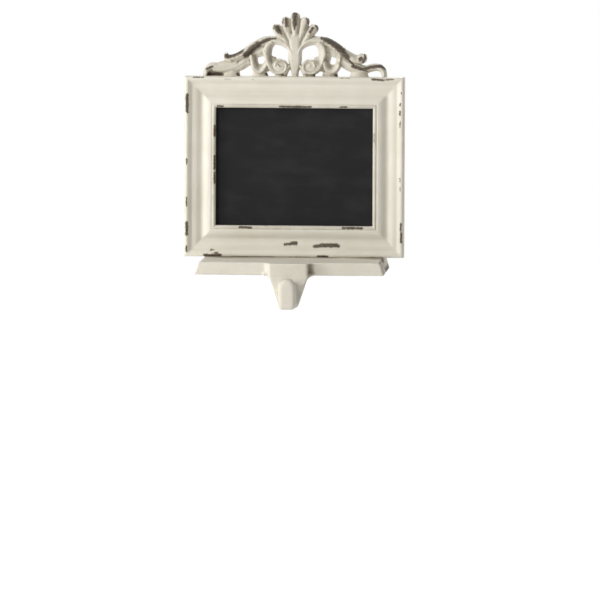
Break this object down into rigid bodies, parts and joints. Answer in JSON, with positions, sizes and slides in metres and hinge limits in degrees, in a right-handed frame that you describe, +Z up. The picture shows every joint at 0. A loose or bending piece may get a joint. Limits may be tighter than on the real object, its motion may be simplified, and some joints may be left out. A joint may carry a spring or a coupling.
{
  "type": "mantel stocking holder",
  "caption": "Weighted mantel stocking holder: a plate with a front hook carries a moulded frame with an openwork shell and scroll crest around a bare chalkboard, in worn cream paint",
  "frame": {"origin": "middle of the seat, on the underside of the pad, where the plate rests on the mantel", "axes": "+X to the viewer's right, +Y to the back (the hook and the board face -Y), +Z up"},
  "size_m": [0.1422, 0.0985, 0.1874],
  "materials": {
    "cream_paint": "satin, worn through at the edges",
    "chalkboard": "matte chalkboard paint",
    "plated_steel": "zinc plated",
    "pad_rubber": "matte"
  },
  "bodies": {
    "root": {"hook_base": "cream_paint", "crested_frame": "cream_paint", "chalkboard_panel": "chalkboard", "base_screws": "plated_steel", "panel_clips": "plated_steel", "clip_screws": "plated_steel", "seat_pad": "pad_rubber"}
  },
  "joints": []
}
